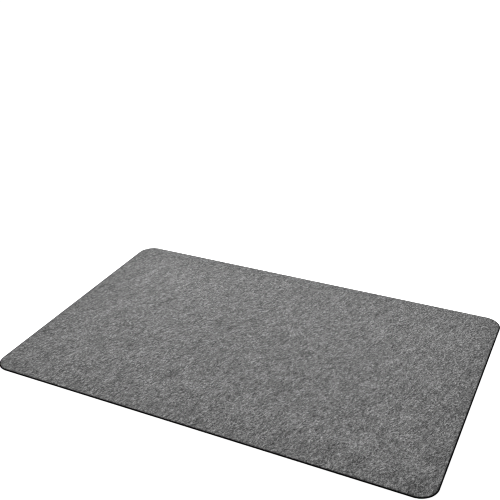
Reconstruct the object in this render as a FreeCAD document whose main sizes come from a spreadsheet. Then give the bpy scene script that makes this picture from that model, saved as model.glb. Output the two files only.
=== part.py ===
import FreeCAD, Part
import math
import os

import Sketcher

# Rectangular chair mat for a hard floor, lying flat. Millimetres, +Z up, origin on the
# floor under the middle of the mat, +X along the long side.
#
# The mat is a stack of bonded layers. From the floor up:
#   rubber_base        black anti-slip rubber sheet, standing proud of the felt all round
#   lower_bond_film    hot-melt film between the rubber and the scrim
#   scrim              thin stabilising net that keeps the felt from stretching
#   upper_bond_film    hot-melt film between the scrim and the felt
#   felt_face          needle-punched felt that the chair rolls on

DIMENSIONS = [
    # alias, value in mm, what it is
    ("mat_length", 1400, "long side of the rubber base"),
    ("mat_width", 900, "short side of the rubber base"),
    ("corner_radius", 55, "plan radius of the base's corners"),
    ("lip_width", 3.3, "how far the base stands proud of the layers on it"),
    ("rubber_thickness", 2.0, "anti-slip base"),
    ("film_thickness", 0.1, "each bond film"),
    ("scrim_thickness", 0.2, "stabilising net with its binder"),
    ("felt_thickness", 1.6, "wear layer"),
    ("rubber_edge_radius", 0.3, "moulded edge of the base, top and bottom"),
    ("felt_edge_radius", 1.2, "felt rolled down at its cut edge"),
]

SHEET = "Dimensions"


def make_dimensions(doc):
    """The spreadsheet that drives every size of the mat."""
    sheet = doc.addObject("Spreadsheet::Sheet", SHEET)
    for row, (alias, value, meaning) in enumerate(DIMENSIONS, start=1):
        sheet.set(f"A{row}", alias)
        sheet.set(f"B{row}", str(value))
        sheet.set(f"C{row}", meaning)
        sheet.setAlias(f"B{row}", alias)
    doc.recompute()
    return sheet


def cells(formula):
    """The formula with each alias written as a reference to the spreadsheet."""
    words = formula.split()
    aliases = {alias for alias, _, _ in DIMENSIONS}
    return " ".join(f"{SHEET}.{word}" if word in aliases else word for word in words)


def origin_plane(body, role):
    """One of the body's own origin planes."""
    return next(f for f in body.Origin.OriginFeatures if f.Role == role)


def draw_rounded_rectangle(sketch, sheet):
    """Four sides and four corner arcs, drawn anticlockwise round the origin at the base's size."""
    radius = sheet.corner_radius
    reach_x = sheet.mat_length / 2 - radius
    reach_y = sheet.mat_width / 2 - radius
    quarter = math.pi / 2
    corners = [(1, -1), (1, 1), (-1, 1), (-1, -1)]
    normal = FreeCAD.Vector(0, 0, 1)
    for index, (side_x, side_y) in enumerate(corners):
        centre = FreeCAD.Vector(side_x * reach_x, side_y * reach_y, 0)
        start_angle = (index - 1) * quarter
        circle = Part.Circle(centre, normal, radius)
        sketch.addGeometry(Part.ArcOfCircle(circle, start_angle, start_angle + quarter))
    arcs = [sketch.Geometry[index] for index in range(len(corners))]
    for index, arc in enumerate(arcs):
        following = arcs[(index + 1) % len(arcs)]
        sketch.addGeometry(Part.LineSegment(arc.EndPoint, following.StartPoint))


def constrain_rounded_rectangle(sketch, sheet, length, width, radius):
    """Smooth joins, square sides, a centre at the origin, and three sizes from the spreadsheet."""
    start, end, centre = 1, 2, 3
    arcs = [0, 1, 2, 3]
    right, top, left, bottom = 4, 5, 6, 7
    origin = (-1, 1)
    for arc, side in zip(arcs, (right, top, left, bottom)):
        sketch.addConstraint(Sketcher.Constraint("Tangent", arc, end, side, start))
        following = arcs[(arc + 1) % len(arcs)]
        sketch.addConstraint(Sketcher.Constraint("Tangent", side, end, following, start))
    for side in (right, left):
        sketch.addConstraint(Sketcher.Constraint("Vertical", side))
    for side in (top, bottom):
        sketch.addConstraint(Sketcher.Constraint("Horizontal", side))
    for arc in arcs[1:]:
        sketch.addConstraint(Sketcher.Constraint("Equal", arcs[0], arc))
    sketch.addConstraint(Sketcher.Constraint("Symmetric", arcs[0], centre, arcs[2], centre, *origin))
    sizes = [
        ("Length", ("DistanceX", left, start, right, start, sheet.mat_length), length),
        ("Width", ("DistanceY", bottom, start, top, start, sheet.mat_width), width),
        ("Radius", ("Radius", arcs[0], sheet.corner_radius), radius),
    ]
    for name, arguments, formula in sizes:
        number = sketch.addConstraint(Sketcher.Constraint(*arguments))
        sketch.renameConstraint(number, name)
        sketch.setExpression(f"Constraints.{name}", cells(formula))


def add_layer(doc, sheet, label, inset, thickness, bottom):
    """A rounded rectangular layer: inset from the base's outline, its underside at bottom."""
    body = doc.addObject("PartDesign::Body", label)
    body.Label = label
    sketch = body.newObject("Sketcher::SketchObject", f"{label}_outline")
    sketch.AttachmentSupport = [(origin_plane(body, "XY_Plane"), "")]
    sketch.MapMode = "FlatFace"
    draw_rounded_rectangle(sketch, sheet)
    constrain_rounded_rectangle(
        sketch,
        sheet,
        f"mat_length - 2 * {inset}",
        f"mat_width - 2 * {inset}",
        f"corner_radius - {inset}",
    )
    pad = body.newObject("PartDesign::Pad", f"{label}_pad")
    pad.Profile = sketch
    pad.setExpression("Length", cells(thickness))
    body.setExpression("Placement.Base.z", cells(bottom))
    doc.recompute()
    return body


def edges_of_face(shape, facing):
    """Names of the edges round the flat face that looks along facing."""
    def looks_along(face):
        return face.Surface.TypeId == "Part::GeomPlane" and face.normalAt(0, 0).dot(facing) > 0.99

    face = next(f for f in shape.Faces if looks_along(f))
    hashes = {edge.hashCode() for edge in face.Edges}
    return [f"Edge{n}" for n, edge in enumerate(shape.Edges, start=1) if edge.hashCode() in hashes]


def round_edges(doc, body, directions, radius):
    """Rounds the rim of the body's top or bottom face, or of both."""
    pad = body.Tip
    names = [name for facing in directions for name in edges_of_face(pad.Shape, facing)]
    fillet = body.newObject("PartDesign::Fillet", f"{body.Label}_rim")
    fillet.Base = (pad, names)
    fillet.setExpression("Radius", cells(radius))
    body.Tip = fillet
    doc.recompute()


UP = FreeCAD.Vector(0, 0, 1)
DOWN = FreeCAD.Vector(0, 0, -1)


def make_rubber_base(doc, sheet):
    body = add_layer(doc, sheet, "rubber_base", "0", "rubber_thickness", "0")
    round_edges(doc, body, (UP, DOWN), "rubber_edge_radius")
    return body


def make_lower_bond_film(doc, sheet):
    return add_layer(doc, sheet, "lower_bond_film", "lip_width", "film_thickness", "rubber_thickness")


def make_scrim(doc, sheet):
    bottom = "rubber_thickness + film_thickness"
    return add_layer(doc, sheet, "scrim", "lip_width", "scrim_thickness", bottom)


def make_upper_bond_film(doc, sheet):
    bottom = "rubber_thickness + film_thickness + scrim_thickness"
    return add_layer(doc, sheet, "upper_bond_film", "lip_width", "film_thickness", bottom)


def make_felt_face(doc, sheet):
    bottom = "rubber_thickness + 2 * film_thickness + scrim_thickness"
    body = add_layer(doc, sheet, "felt_face", "lip_width", "felt_thickness", bottom)
    round_edges(doc, body, (UP,), "felt_edge_radius")
    return body


def check_document(doc, parts):
    """Stops if any object failed to compute or any sub-part has no sound solid."""
    for item in doc.Objects:
        if {"Invalid", "Error"} & set(item.State):
            raise RuntimeError(f"{item.Label} failed: {item.State}")
    for part in parts:
        if part.Shape.isNull() or not part.Shape.isValid() or len(part.Shape.Solids) != 1:
            raise RuntimeError(f"{part.Label} has no sound single solid")


def export_parts(parts):
    """Writes each sub-part to its own STEP file."""
    os.makedirs("parts", exist_ok=True)
    for part in parts:
        part.Shape.exportStep(f"parts/{part.Label}.step")
        box = part.Shape.optimalBoundingBox(False)
        size = f"{box.XLength:.2f} x {box.YLength:.2f} x {box.ZLength:.2f}"
        print(f"{part.Label}: {size} mm from z {box.ZMin:.2f}, {part.Shape.Volume / 1000:.1f} cm3")


def main():
    doc = FreeCAD.newDocument("ChairMat")
    sheet = make_dimensions(doc)
    makers = [
        make_rubber_base,
        make_lower_bond_film,
        make_scrim,
        make_upper_bond_film,
        make_felt_face,
    ]
    parts = [make(doc, sheet) for make in makers]
    doc.recompute()
    check_document(doc, parts)
    export_parts(parts)


main()
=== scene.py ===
import math

import bpy
import numpy as np
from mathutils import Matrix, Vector, noise


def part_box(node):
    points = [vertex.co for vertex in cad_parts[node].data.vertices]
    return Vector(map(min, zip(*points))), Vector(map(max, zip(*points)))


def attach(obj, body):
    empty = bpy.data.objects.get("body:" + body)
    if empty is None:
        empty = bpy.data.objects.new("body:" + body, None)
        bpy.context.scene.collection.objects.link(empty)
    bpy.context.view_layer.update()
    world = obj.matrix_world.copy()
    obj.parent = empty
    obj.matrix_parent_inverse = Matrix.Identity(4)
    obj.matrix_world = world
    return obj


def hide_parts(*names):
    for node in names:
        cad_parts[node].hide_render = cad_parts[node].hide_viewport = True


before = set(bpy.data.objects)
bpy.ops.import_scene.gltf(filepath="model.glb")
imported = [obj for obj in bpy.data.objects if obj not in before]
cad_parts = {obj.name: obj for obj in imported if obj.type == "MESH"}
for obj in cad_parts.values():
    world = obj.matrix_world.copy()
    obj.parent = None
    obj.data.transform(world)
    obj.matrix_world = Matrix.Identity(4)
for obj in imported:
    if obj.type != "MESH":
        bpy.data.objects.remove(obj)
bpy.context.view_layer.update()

# A chair mat lying flat: heathered felt over a black rubber base that stands proud of it.
# Everything is in metres in the row frame: origin on the floor under the middle of the mat,
# +X along the long side, +Z up.

MM = 0.001

# ---------------------------------------------------------------- sizes taken from the frame

BASE_LOW, BASE_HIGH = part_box("rubber_base")
SCRIM_LOW, SCRIM_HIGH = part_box("scrim")
FELT_LOW, FELT_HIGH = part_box("felt_face")
LIP = BASE_HIGH.x - FELT_HIGH.x  # how far the rubber stands proud of the felt
BASE_RADIUS = 55 * MM  # plan radius of the base's corners
FELT_RADIUS = BASE_RADIUS - LIP

# ---------------------------------------------------------------- camera, as in the photograph

CAMERA_PLACE = (0.9532, -1.9026, 1.4346)
CAMERA_TURN = (62.763, 1.506, 26.038)  # XYZ Euler angles in degrees
CAMERA_LENS = 56.69  # mm on a 36 mm sensor

# ---------------------------------------------------------------- light and floor

AMBIENT = 0.6  # strength of the even light from all round
FLOOR_GLOW = 0.5  # keeps the floor white where the key light doesn't reach
FLOOR_REACH = 20  # metres each way, so that no edge of the floor is seen
KEY_PLACE = (-1.2, 2.7, 1.7)  # a softbox out beyond the back edge, to the left
KEY_AIM = (0, 0, 0)
KEY_WIDTH = 1.6
KEY_POWER = 80

# ---------------------------------------------------------------- the felt

FELT_CELL = 4.3 * MM  # spacing of the felt's surface points
FELT_ROLL_WIDTH = 2.3 * MM  # the cut edge rolls down over this width
FELT_ROLL_SHARE = 0.94  # and by this share of the felt's height
FELT_ROLL_STEPS = 6
FELT_CLOUD = 0.10 * MM  # slow thickness variation of the needled web
FELT_CLOUD_SIZE = 38 * MM
FELT_RIPPLE = 0.06 * MM  # finer variation on top of it
FELT_RIPPLE_SIZE = 13 * MM
FELT_NAP = 0.035 * MM  # random height of the tufts raised by the needling
CUT_WANDER = 0.25 * MM  # how far the knife strays from a true line
CUT_SWAY_SIZE = 60 * MM  # most of the stray is a slow sway
CUT_SWAY_SHARE = 0.6
CUT_JITTER_SIZE = 7 * MM  # and the rest a quick jitter
EDGE_SHADE_REACH = 120 * MM  # this near to a side the felt's colour is darkened: painted shade towards the edges
EDGE_SHADE = 0.27  # how much painted shade each side adds at the edge, where 1 is the full darkening
ROLL_START_PRESS_AND_SHADE = 0.5  # the first ring of the roll is half darkened, the rest of it fully: partly a pressed cut edge, partly painted shade

# ---------------------------------------------------------------- the rubber base

RUBBER_EDGE = 0.3 * MM  # moulded radius of the rim, top and bottom
RUBBER_EDGE_STEPS = 3
RUBBER_CORNER_STEPS = 24
RUBBER_SIDE_STEP = 50 * MM  # spacing of the rim's points along the straight sides
GRIP_PITCH = 12 * MM  # embossed grip pads on the underside
GRIP_GROOVE = 2.6 * MM
GRIP_DEPTH = 0.45 * MM
GRIP_BORDER = 14 * MM  # flat band round the pads
TUCK = 4 * MM  # the lip's top is modelled this far in under the felt

# ---------------------------------------------------------------- the scrim

YARN_PITCH = 6 * MM  # from the middle of one yarn to the next, both ways
YARN_WIDTH = 1.2 * MM
OUTER_YARN_INSET = 1.2 * MM  # from the net's edge to the middle of its last yarn


# ================================================================ mesh helpers


def rounded_grid(xs, ys, half_x, half_y, radius):
    """Plan points of a grid whose outer square corners are drawn in to arcs of that radius.

    Inside a corner square the grid follows the elliptical map from a square to a disc.
    """
    x, y = np.meshgrid(xs, ys, indexing="ij")
    core_x, core_y = half_x - radius, half_y - radius
    a = np.clip((np.abs(x) - core_x) / radius, 0, 1)
    b = np.clip((np.abs(y) - core_y) / radius, 0, 1)
    bent_x = np.sign(x) * (core_x + radius * a * np.sqrt(1 - b * b / 2))
    bent_y = np.sign(y) * (core_y + radius * b * np.sqrt(1 - a * a / 2))
    corner = (a > 0) & (b > 0)
    return np.where(corner, bent_x, x), np.where(corner, bent_y, y)


def rim_indices(columns, rows):
    """Column and row numbers round the rim of a grid, anticlockwise from its low corner."""
    bottom = [(i, 0) for i in range(columns - 1)]
    right = [(columns - 1, j) for j in range(rows - 1)]
    top = [(i, rows - 1) for i in range(columns - 1, 0, -1)]
    left = [(0, j) for j in range(rows - 1, 0, -1)]
    return tuple(np.array(bottom + right + top + left).T)


def outward(points, half_x, half_y, radius):
    """Unit plan normals of a rounded rectangle at points on its outline."""
    core = np.array([half_x - radius, half_y - radius])
    away = points - np.clip(points, -core, core)
    return away / np.linalg.norm(away, axis=1, keepdims=True)


def outline(half_x, half_y, radius, corner_steps, side_step):
    """Plan points round a rounded rectangle, anticlockwise."""
    points = []
    core_x, core_y = half_x - radius, half_y - radius
    corners = [(core_x, -core_y), (core_x, core_y), (-core_x, core_y), (-core_x, -core_y)]
    for number, (centre_x, centre_y) in enumerate(corners):
        for step in range(corner_steps + 1):
            angle = (number - 1 + step / corner_steps) * math.pi / 2
            points.append((centre_x + radius * math.cos(angle), centre_y + radius * math.sin(angle)))
        following = corners[(number + 1) % 4]
        start = np.array(points[-1])
        side = np.array(following) - np.array((centre_x, centre_y))
        pieces = round(np.linalg.norm(side) / side_step)
        points += [tuple(start + side * piece / pieces) for piece in range(1, pieces)]
    return np.array(points)


class Shell:
    """Collects the points and faces of one closed mesh."""

    def __init__(self):
        self.points = []
        self.faces = []

    def add_points(self, points):
        first = len(self.points)
        self.points.extend(map(tuple, points))
        return np.arange(first, len(self.points))

    def add_grid(self, x, y, z, facing_up):
        """A grid of quads. Returns the numbers of its points, by column and row."""
        numbers = self.add_points(np.stack([x, y, z], axis=-1).reshape(-1, 3)).reshape(x.shape)
        quads = np.stack(
            [numbers[:-1, :-1], numbers[1:, :-1], numbers[1:, 1:], numbers[:-1, 1:]], axis=-1
        ).reshape(-1, 4)
        if not facing_up:
            quads = quads[:, ::-1]
        self.faces.extend(quads.tolist())
        return numbers

    def add_ring(self, previous, points, downward):
        """Joins a closed loop of points to the one before it, going down or up the outside."""
        ring = self.add_points(points)
        quads = np.stack([previous, ring, np.roll(ring, -1), np.roll(previous, -1)], axis=-1)
        if not downward:
            quads = quads[:, ::-1]
        self.faces.extend(quads.tolist())
        return ring

    def unrolled(self, loop):
        """A loop's points once round from the lowest angle about the origin, and their angles."""
        angles = [math.atan2(self.points[number][1], self.points[number][0]) for number in loop]
        start = int(np.argmin(angles))
        loop, angles = np.roll(loop, -start).tolist(), np.roll(angles, -start).tolist()
        return loop + loop[:1], angles + [angles[0] + 2 * math.pi]

    def add_band(self, inner, outer, facing_up):
        """Joins two nested loops, both anticlockwise round the origin, with a band of triangles."""
        inner, inner_angles = self.unrolled(inner)
        outer, outer_angles = self.unrolled(outer)
        i = j = 0
        while i + 1 < len(inner) or j + 1 < len(outer):
            outer_done = j + 1 == len(outer)
            if outer_done or (i + 1 < len(inner) and inner_angles[i + 1] < outer_angles[j + 1]):
                triangle = [inner[i], outer[j], inner[i + 1]]
                i += 1
            else:
                triangle = [inner[i], outer[j], outer[j + 1]]
                j += 1
            self.faces.append(triangle if facing_up else triangle[::-1])

    def close(self, ring, facing_up):
        """Closes the shell with one face inside the ring."""
        self.faces.append(ring.tolist() if facing_up else ring[::-1].tolist())

    def build(self, name, material):
        mesh = bpy.data.meshes.new(name)
        mesh.from_pydata(self.points, [], self.faces)
        mesh.validate()
        mesh.materials.append(material)
        piece = bpy.data.objects.new(name, mesh)
        bpy.context.scene.collection.objects.link(piece)
        return piece


def smooth(piece):
    for polygon in piece.data.polygons:
        polygon.use_smooth = True


def even_steps(half, spacing):
    """Evenly spaced positions from -half to half, about spacing apart."""
    return np.linspace(-half, half, 2 * round(half / spacing) + 1)


SEED_STEP = (17.3, 5.9, 11.1)  # how far each seed moves the noise, so that no two match


def soft_noise(points, scale, seed):
    """Smooth noise from about -1 to 1 at plan points, with features about scale across."""
    shift = Vector([seed * step for step in SEED_STEP])
    return np.array([noise.noise(Vector((x / scale, y / scale, 0)) + shift) for x, y in points])


# ================================================================ material helpers


class Surface:
    """A node material with one Principled shader, built by short calls."""

    def __init__(self, name):
        self.material = bpy.data.materials.new(name)
        self.material.use_nodes = True
        self.tree = self.material.node_tree
        self.shader = self.tree.nodes["Principled BSDF"]
        self.place = self.node("ShaderNodeTexCoord").outputs["Object"]

    def node(self, kind, **settings):
        made = self.tree.nodes.new(kind)
        for name, value in settings.items():
            setattr(made, name, value)
        return made

    def feed(self, socket, value):
        """Sets a socket to a number, or links it to another socket."""
        if isinstance(value, bpy.types.NodeSocket):
            self.tree.links.new(value, socket)
        else:
            socket.default_value = value

    def set(self, name, value):
        self.feed(self.shader.inputs[name], value)

    def stretched(self, along, across, angle=0.0, shift=0.0):
        """Coordinates counted in cells of along x across metres, turned by angle degrees.

        The shift moves the pattern, so that two layers of the same noise don't match.
        """
        turn = self.node("ShaderNodeMapping", vector_type="TEXTURE")
        self.feed(turn.inputs["Vector"], self.place)
        turn.inputs["Location"].default_value = (shift, shift, 0)
        turn.inputs["Rotation"].default_value = (0, 0, math.radians(angle))
        turn.inputs["Scale"].default_value = (along, across, across)
        return turn.outputs["Vector"]

    def noise(self, vector, detail=2.0, roughness=0.5, distortion=0.0):
        """Noise from 0 to 1, about 0.5, with features about one cell across."""
        made = self.node("ShaderNodeTexNoise")
        self.feed(made.inputs["Vector"], vector)
        made.inputs["Scale"].default_value = 1.0
        made.inputs["Detail"].default_value = detail
        made.inputs["Roughness"].default_value = roughness
        made.inputs["Distortion"].default_value = distortion
        return made.outputs["Fac"]

    def math(self, operation, first, second=0.0, third=0.0):
        made = self.node("ShaderNodeMath", operation=operation)
        for socket, value in zip(made.inputs, (first, second, third)):
            self.feed(socket, value)
        return made.outputs["Value"]

    def add(self, tone, weight, mask):
        """The tone plus weight times the mask."""
        return self.math("MULTIPLY_ADD", mask, weight, tone)

    def vary(self, tone, weight, pattern):
        """The tone plus weight times how far the pattern, a noise, is from its middle."""
        return self.add(tone, weight, self.math("SUBTRACT", pattern, 0.5))

    def range(self, value, low, high, to_low=0.0, to_high=1.0, smoothly=False):
        """The value brought from low..high to to_low..to_high, and held at those ends."""
        made = self.node("ShaderNodeMapRange")
        if smoothly:
            made.interpolation_type = "SMOOTHSTEP"
        for name, number in zip(
            ("Value", "From Min", "From Max", "To Min", "To Max"), (value, low, high, to_low, to_high)
        ):
            self.feed(made.inputs[name], number)
        return made.outputs["Result"]

    def greys(self, value, stops):
        """A colour ramp through neutral greys, given as (position, linear grey)."""
        ramp = self.node("ShaderNodeValToRGB")
        self.feed(ramp.inputs["Fac"], value)
        elements = ramp.color_ramp.elements
        while len(elements) < len(stops):
            elements.new(0.5)
        for element, (position, grey) in zip(elements, stops):
            element.position = position
            element.color = (grey, grey, grey, 1)
        return ramp.outputs["Color"]

    def attribute(self, name):
        return self.node("ShaderNodeAttribute", attribute_name=name).outputs["Fac"]

    def bump(self, height, depth, strength=1.0, under=None):
        """Relief of that depth in metres, laid over any bump given as under."""
        made = self.node("ShaderNodeBump")
        self.feed(made.inputs["Height"], height)
        made.inputs["Distance"].default_value = depth
        made.inputs["Strength"].default_value = strength
        if under is not None:
            self.feed(made.inputs["Normal"], under)
        return made.outputs["Normal"]


# ================================================================ materials

NOISE_SPAN = (0.3, 0.7)  # nearly all values of a noise lie between these

# Patterns in the felt, each with its length and width.
GRAIN = 68  # degrees from the long side, the way most of the carded fibres lie
CLUMP = (8 * MM, 4.6 * MM)  # clumps of paler and darker fibre
CARDING = (26 * MM, 11 * MM)  # longer streaks that the carding leaves
CLOUD = (90 * MM, 50 * MM)  # slow change of shade over the sheet
TUFT = (8 * MM, 1.5 * MM)  # short tufts that the needling pulls up
STRAND = (34 * MM, 2.2 * MM)  # longer strands among them
PALE_TUFT_ANGLES = (GRAIN - 34, GRAIN - 11, GRAIN + 10, GRAIN + 36)
DARK_TUFT_ANGLES = (GRAIN - 27, GRAIN - 4, GRAIN + 17, GRAIN + 43)
STRAND_ANGLES = (GRAIN - 16, GRAIN + 6, GRAIN + 24)
TUFT_FADE = (0.56, 0.74)  # a tuft shows where its noise is past the first, fully past the second
STRAND_FADE = (0.6, 0.74)
FIBRE_SHIFT = 0.31  # metres between the patterns of one angle and the next

# The felt's tone runs from 0, charcoal, to 1, pale grey. Each pattern adds its weight to it.
MIDDLE_TONE = 0.5
CLUMP_WEIGHT = 1.9
CARDING_WEIGHT = 0.75
CLOUD_WEIGHT = 0.22
PALE_TUFT_WEIGHT = 0.30
DARK_TUFT_WEIGHT = -0.27
STRAND_WEIGHT = 0.16
# painted shade towards the edges and corners; on the roll it stands for a pressed cut edge and painted
# shade together
PRESSED_AND_SHADE_WEIGHT = -0.22

# Ramps from a tone to a linear grey.
FELT_GREYS = [(0.0, 0.022), (0.35, 0.093), (0.6, 0.208), (1.0, 0.54)]
RUBBER_GREYS = [(0.3, 0.002), (0.6, 0.004), (1.0, 0.04)]
FILM_GREYS = [(0.3, 0.006), (0.7, 0.018)]
YARN_GREYS = [(0.2, 0.16), (0.5, 0.30), (0.9, 0.46)]

PAD_GROOVE_SHADE_WEIGHT = 0.4  # how much paler the underside's grip pads are than the rest; the darker grooves between them are painted shade
FILAMENT_WEIGHT = 0.12
FILAMENT_WAVE = 22.0  # radians of the filaments' wave from a yarn's middle to its edge


def fibres(surface, size, angles, shift, fade):
    """Sparse streaks of that length and width, lying along each of the angles."""
    mask = None
    for number, angle in enumerate(angles):
        cells = surface.stretched(*size, angle, shift + FIBRE_SHIFT * number)
        pattern = surface.noise(cells, detail=1.0, distortion=0.9)
        streak = surface.range(pattern, *fade, smoothly=True)
        mask = streak if mask is None else surface.math("MAXIMUM", mask, streak)
    return mask


def felt_material():
    """Heathered felt: charcoal, mid and pale grey fibres needled together at random."""
    felt = Surface("heathered_felt")
    clumps = felt.noise(felt.stretched(*CLUMP, GRAIN), detail=3.0, roughness=0.85, distortion=0.8)
    carding = felt.noise(
        felt.stretched(*CARDING, GRAIN, shift=5.1), detail=3.0, roughness=0.7, distortion=0.9
    )
    cloud = felt.noise(felt.stretched(*CLOUD, GRAIN, shift=2.3), detail=4.0, roughness=0.6)
    pale = fibres(felt, TUFT, PALE_TUFT_ANGLES, shift=1.7, fade=TUFT_FADE)
    dark = fibres(felt, TUFT, DARK_TUFT_ANGLES, shift=4.1, fade=TUFT_FADE)
    strands = fibres(felt, STRAND, STRAND_ANGLES, shift=7.7, fade=STRAND_FADE)

    tone = felt.vary(MIDDLE_TONE, CLUMP_WEIGHT, clumps)
    tone = felt.vary(tone, CARDING_WEIGHT, carding)
    tone = felt.add(tone, PALE_TUFT_WEIGHT, pale)
    tone = felt.add(tone, DARK_TUFT_WEIGHT, dark)
    tone = felt.add(tone, STRAND_WEIGHT, strands)
    tone = felt.vary(tone, CLOUD_WEIGHT, cloud)
    # painted shade: darker towards each side, most at the corners, and darkest on the rolled cut edge
    tone = felt.add(tone, PRESSED_AND_SHADE_WEIGHT, felt.attribute("pressed_and_shade"))
    felt.set("Base Color", felt.greys(tone, FELT_GREYS))

    felt.set("Roughness", felt.range(clumps, *NOISE_SPAN, to_low=0.98, to_high=0.86))
    felt.set("Specular IOR Level", 0.2)
    felt.set("Sheen Weight", 0.12)
    felt.set("Sheen Roughness", 0.45)
    felt.set("Sheen Tint", (0.8, 0.8, 0.8, 1))

    clump_relief = felt.bump(clumps, depth=0.4 * MM, strength=0.5)
    raised = felt.math("SUBTRACT", felt.math("MAXIMUM", pale, strands), dark)
    felt.set("Normal", felt.bump(raised, depth=0.12 * MM, strength=0.6, under=clump_relief))
    return felt.material


def rubber_material():
    """Matt black moulded rubber: a fine pebble, a faint bloom, and paler grip pads with painted shade
    in the grooves between them.
    """
    rubber = Surface("black_rubber")
    bloom = rubber.noise(rubber.stretched(45 * MM, 45 * MM), detail=4.0, roughness=0.6)
    pebble = rubber.noise(rubber.stretched(0.7 * MM, 0.7 * MM))
    # painted shade: the grooves between the grip pads stay darker than the pads' faces
    tone = rubber.add(bloom, PAD_GROOVE_SHADE_WEIGHT, rubber.attribute("pads_pale_grooves_shaded"))
    rubber.set("Base Color", rubber.greys(tone, RUBBER_GREYS))
    rubber.set("Roughness", rubber.range(bloom, *NOISE_SPAN, to_low=0.95, to_high=0.75))
    rubber.set("Specular IOR Level", 0.04)
    rubber.set("Normal", rubber.bump(pebble, depth=0.06 * MM, strength=0.6))
    return rubber.material


def film_material():
    """Black hot-melt film that has taken the print of the layers pressed into it."""
    film = Surface("hot_melt_film")
    flow = film.noise(film.stretched(30 * MM, 12 * MM), detail=3.0, roughness=0.6, distortion=0.8)
    print_through = film.noise(film.stretched(2.5 * MM, 2.5 * MM), detail=3.0, roughness=0.6)
    film.set("Base Color", film.greys(flow, FILM_GREYS))
    film.set("Roughness", film.range(flow, *NOISE_SPAN, to_low=0.55, to_high=0.32))
    film.set("Specular IOR Level", 0.3)
    film.set("Normal", film.bump(print_through, depth=0.05 * MM, strength=0.5))
    return film.material


def yarn_material():
    """Flat bundles of pale filaments, held in a little binder."""
    yarn = Surface("scrim_yarn")
    wave = yarn.math("MULTIPLY", yarn.attribute("across"), FILAMENT_WAVE)
    filaments = yarn.math("SINE", wave)
    binder = yarn.noise(yarn.stretched(9 * MM, 9 * MM), detail=3.0, roughness=0.6)
    tone = yarn.add(binder, FILAMENT_WEIGHT, filaments)
    yarn.set("Base Color", yarn.greys(tone, YARN_GREYS))
    yarn.set("Roughness", yarn.range(binder, *NOISE_SPAN, to_low=0.7, to_high=0.45))
    yarn.set("Normal", yarn.bump(filaments, depth=0.03 * MM, strength=0.6))
    return yarn.material


# ================================================================ pieces


def add_point_attribute(piece, name, values):
    layer = piece.data.attributes.new(name, "FLOAT", "POINT")
    layer.data.foreach_set("value", np.asarray(values, np.float32))


def painted_edge_shade(plan, half_x, half_y):
    """How much painted shade darkens the felt at plan points: more towards each side, and most at
    corners.
    """
    from_sides = np.array([half_x, half_y]) - np.abs(plan)
    return EDGE_SHADE * np.clip(1 - from_sides / EDGE_SHADE_REACH, 0, 1).sum(axis=1)


def make_felt(material):
    """The felt: a needled web of uneven thickness whose cut edge rolls down to the film."""
    inset = FELT_ROLL_WIDTH + CUT_WANDER
    half_x, half_y, radius = FELT_HIGH.x - inset, FELT_HIGH.y - inset, FELT_RADIUS - inset
    xs, ys = even_steps(half_x, FELT_CELL), even_steps(half_y, FELT_CELL)
    x, y = rounded_grid(xs, ys, half_x, half_y, radius)
    plan = np.stack([x, y], axis=-1).reshape(-1, 2)
    random = np.random.default_rng(seed=7)
    relief = FELT_CLOUD * soft_noise(plan, FELT_CLOUD_SIZE, seed=1)
    relief += FELT_RIPPLE * soft_noise(plan, FELT_RIPPLE_SIZE, seed=2)
    relief += random.normal(0, FELT_NAP, len(plan))
    z = FELT_HIGH.z - FELT_CLOUD + relief.reshape(x.shape)

    shell = Shell()
    top = shell.add_grid(x, y, z, facing_up=True)
    rim = rim_indices(*x.shape)
    ring = top[rim]
    edge = np.stack([x[rim], y[rim]], axis=-1)
    edge_z = z[rim]
    normal = outward(edge, half_x, half_y, radius)
    sway = soft_noise(edge, CUT_SWAY_SIZE, seed=3)
    jitter = soft_noise(edge, CUT_JITTER_SIZE, seed=4)
    wander = CUT_WANDER * (CUT_SWAY_SHARE * sway + (1 - CUT_SWAY_SHARE) * jitter)
    for step in range(1, FELT_ROLL_STEPS + 1):
        turn = step / FELT_ROLL_STEPS * math.pi / 2
        reach = (FELT_ROLL_WIDTH + wander) * math.sin(turn)
        drop = FELT_ROLL_SHARE * (edge_z - FELT_LOW.z) * (1 - math.cos(turn))
        points = np.column_stack([edge + normal * reach[:, None], edge_z - drop])
        ring = shell.add_ring(ring, points, downward=True)
    foot = np.column_stack([edge + normal * reach[:, None], np.full(len(edge), FELT_LOW.z)])
    ring = shell.add_ring(ring, foot, downward=True)
    shell.close(ring, facing_up=False)

    piece = shell.build("felt_face_detail", material)
    smooth(piece)
    # painted shade near the sides and corners; the roll is darkened as a pressed cut edge and painted
    # shade together
    pressed_and_shade = np.ones(len(shell.points))
    pressed_and_shade[: len(plan)] = painted_edge_shade(plan, half_x, half_y)
    pressed_and_shade[len(plan) : len(plan) + len(edge)] = ROLL_START_PRESS_AND_SHADE
    add_point_attribute(piece, "pressed_and_shade", pressed_and_shade)
    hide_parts("felt_face")
    return piece


def grip_lines(half):
    """Grid positions across the pads and grooves, and which of them are sunk in a groove."""
    room = half - GRIP_BORDER
    pads = int((2 * room + GRIP_GROOVE) // GRIP_PITCH)
    first = -(pads * GRIP_PITCH - GRIP_GROOVE) / 2
    positions, in_groove = [], []
    for pad in range(pads):
        start = first + pad * GRIP_PITCH
        end = start + GRIP_PITCH - GRIP_GROOVE
        if pad > 0:
            positions.append(start - GRIP_GROOVE / 2)
            in_groove.append(True)
        positions += [start, end]
        in_groove += [False, False]
    return np.array(positions), np.array(in_groove)


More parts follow.
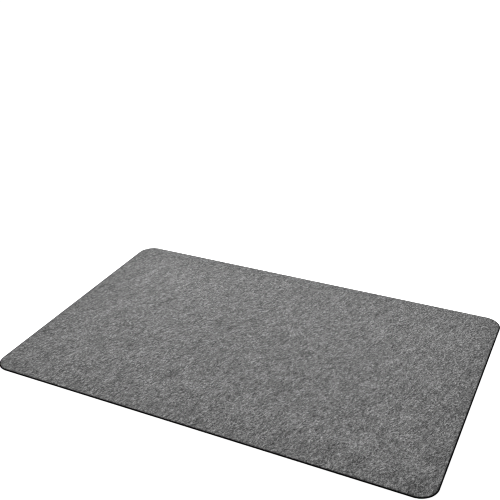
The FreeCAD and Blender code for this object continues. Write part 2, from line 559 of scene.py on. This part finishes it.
def make_rubber_base(material):
    """The rubber base: embossed grip pads underneath, a rounded rim, and a lip round the felt."""
    half_x, half_y = BASE_HIGH.x - RUBBER_EDGE, BASE_HIGH.y - RUBBER_EDGE
    radius = BASE_RADIUS - RUBBER_EDGE
    xs, groove_x = grip_lines(half_x)
    ys, groove_y = grip_lines(half_y)
    x, y = rounded_grid(xs, ys, xs[-1], ys[-1], radius - GRIP_BORDER)
    inside = np.zeros(x.shape, bool)
    inside[1:-1, 1:-1] = True
    sunk = (groove_x[:, None] | groove_y[None, :]) & inside
    z = BASE_LOW.z + np.where(sunk, GRIP_DEPTH, 0.0)

    shell = Shell()
    pads = shell.add_grid(x, y, z, facing_up=False)
    rim = rim_indices(*x.shape)
    edge = outline(half_x, half_y, radius, RUBBER_CORNER_STEPS, RUBBER_SIDE_STEP)
    ring = shell.add_points(np.column_stack([edge, np.full(len(edge), BASE_LOW.z)]))
    shell.add_band(pads[rim], ring, facing_up=False)
    underside_points = len(shell.points)
    normal = outward(edge, half_x, half_y, radius)
    quarter = [step / RUBBER_EDGE_STEPS * math.pi / 2 for step in range(RUBBER_EDGE_STEPS + 1)]
    profile = []
    for turn in quarter[1:]:
        profile.append((RUBBER_EDGE * math.sin(turn), BASE_LOW.z + RUBBER_EDGE * (1 - math.cos(turn))))
    for turn in quarter:
        profile.append((RUBBER_EDGE * math.cos(turn), BASE_HIGH.z - RUBBER_EDGE * (1 - math.sin(turn))))
    profile.append((-(LIP + TUCK), BASE_HIGH.z))
    for reach, height in profile:
        points = np.column_stack([edge + normal * reach, np.full(len(edge), height)])
        ring = shell.add_ring(ring, points, downward=False)
    shell.close(ring, facing_up=True)

    piece = shell.build("rubber_base_detail", material)
    # the underside's pad faces are paler; grooves, rim and lip keep the dark tone, which is painted
    # shade in the grooves
    pads_pale_grooves_shaded = np.zeros(len(shell.points))
    pads_pale_grooves_shaded[:underside_points] = 1.0
    pads_pale_grooves_shaded[pads[sunk]] = 0.0
    add_point_attribute(piece, "pads_pale_grooves_shaded", pads_pale_grooves_shaded)
    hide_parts("rubber_base")
    return piece


def half_chord(position, half_along, half_across, radius):
    """Half the length of a rounded rectangle along one axis, at a position on the other."""
    into_corner = max(0.0, abs(position) - (half_across - radius))
    return half_along - radius + math.sqrt(radius**2 - into_corner**2)


def add_yarn(shell, across, centre, half_length, low, high, along_x):
    """One flat yarn with a lens-shaped section, lying along X or Y.

    The list across takes each point's place over the yarn's width, from -1 to 1.
    """
    middle = (low + high) / 2
    section = [(-1, middle), (-0.5, low), (0.5, low), (1, middle), (0.5, high), (-0.5, high)]
    rings = []
    for end in (-half_length, half_length):
        points = []
        for side, height in section:
            offset = centre + side * YARN_WIDTH / 2
            points.append((end, offset, height) if along_x else (offset, end, height))
        rings.append(shell.add_points(points).tolist())
        across.extend(side for side, _ in section)
    near, far = rings
    count = len(section)
    for i in range(count):
        j = (i + 1) % count
        quad = [near[i], far[i], far[j], near[j]]
        shell.faces.append(quad[::-1] if along_x else quad)
    shell.faces.append(near[::-1] if along_x else near)
    shell.faces.append(far if along_x else far[::-1])


def make_scrim(material):
    """The stabilising net: one set of flat yarns laid on another at right angles."""
    half_x, half_y = SCRIM_HIGH.x, SCRIM_HIGH.y
    middle = (SCRIM_LOW.z + SCRIM_HIGH.z) / 2
    shell, across = Shell(), []
    for y in even_steps(half_y - OUTER_YARN_INSET, YARN_PITCH):
        half_length = half_chord(abs(y) + YARN_WIDTH / 2, half_x, half_y, FELT_RADIUS)
        add_yarn(shell, across, y, half_length, SCRIM_LOW.z, middle, along_x=True)
    for x in even_steps(half_x - OUTER_YARN_INSET, YARN_PITCH):
        half_length = half_chord(abs(x) + YARN_WIDTH / 2, half_y, half_x, FELT_RADIUS)
        add_yarn(shell, across, x, half_length, middle, SCRIM_HIGH.z, along_x=False)
    piece = shell.build("scrim_net", material)
    add_point_attribute(piece, "across", across)
    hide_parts("scrim")
    return piece


def finish_film(node_name, material):
    """A bond film keeps its CAD shape and gets its own material."""
    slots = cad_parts[node_name].data.materials
    slots.clear()
    slots.append(material)


# ================================================================ stage


def make_floor():
    mesh = bpy.data.meshes.new("floor")
    corners = [(x * FLOOR_REACH, y * FLOOR_REACH, 0) for x, y in ((-1, -1), (1, -1), (1, 1), (-1, 1))]
    mesh.from_pydata(corners, [], [(0, 1, 2, 3)])
    floor = bpy.data.objects.new("floor", mesh)
    bpy.context.scene.collection.objects.link(floor)
    paint = Surface("white_floor")
    paint.set("Base Color", (0.95, 0.95, 0.95, 1))
    paint.set("Roughness", 1.0)
    paint.set("Specular IOR Level", 0.0)
    paint.set("Emission Color", (1, 1, 1, 1))
    paint.set("Emission Strength", FLOOR_GLOW)
    mesh.materials.append(paint.material)


def make_world():
    """Soft light from all round, which the camera itself sees as a white backdrop."""
    world = bpy.data.worlds.new("studio")
    world.use_nodes = True
    tree = world.node_tree
    background = tree.nodes["Background"]
    background.inputs["Color"].default_value = (1, 1, 1, 1)
    seen = tree.nodes.new("ShaderNodeLightPath").outputs["Is Camera Ray"]
    strength = tree.nodes.new("ShaderNodeMapRange")
    tree.links.new(seen, strength.inputs["Value"])
    strength.inputs["To Min"].default_value = AMBIENT
    strength.inputs["To Max"].default_value = 1.0
    tree.links.new(strength.outputs["Result"], background.inputs["Strength"])
    bpy.context.scene.world = world


def make_softbox(name, place, aim, width, power):
    light = bpy.data.lights.new(name, "AREA")
    light.shape = "SQUARE"
    light.size = width
    light.energy = power
    lamp = bpy.data.objects.new(name, light)
    lamp.location = place
    lamp.rotation_euler = (Vector(aim) - Vector(place)).to_track_quat("-Z", "Y").to_euler()
    bpy.context.scene.collection.objects.link(lamp)


def make_camera():
    data = bpy.data.cameras.new("camera")
    data.lens = CAMERA_LENS
    camera = bpy.data.objects.new("camera", data)
    camera.location = CAMERA_PLACE
    camera.rotation_euler = [math.radians(angle) for angle in CAMERA_TURN]
    bpy.context.scene.collection.objects.link(camera)
    bpy.context.scene.camera = camera


# ================================================================ the scene

felt = make_felt(felt_material())
base = make_rubber_base(rubber_material())
net = make_scrim(yarn_material())
film = film_material()
for film_name in ("lower_bond_film", "upper_bond_film"):
    finish_film(film_name, film)
for piece in (felt, base, net):
    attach(piece, "root")


make_floor()
make_world()
make_softbox("key", KEY_PLACE, KEY_AIM, KEY_WIDTH, KEY_POWER)
make_camera()
bpy.context.scene.view_settings.view_transform = "Standard"
bpy.context.scene.cycles.filter_width = 1.0  # pixels, for a crisp grain
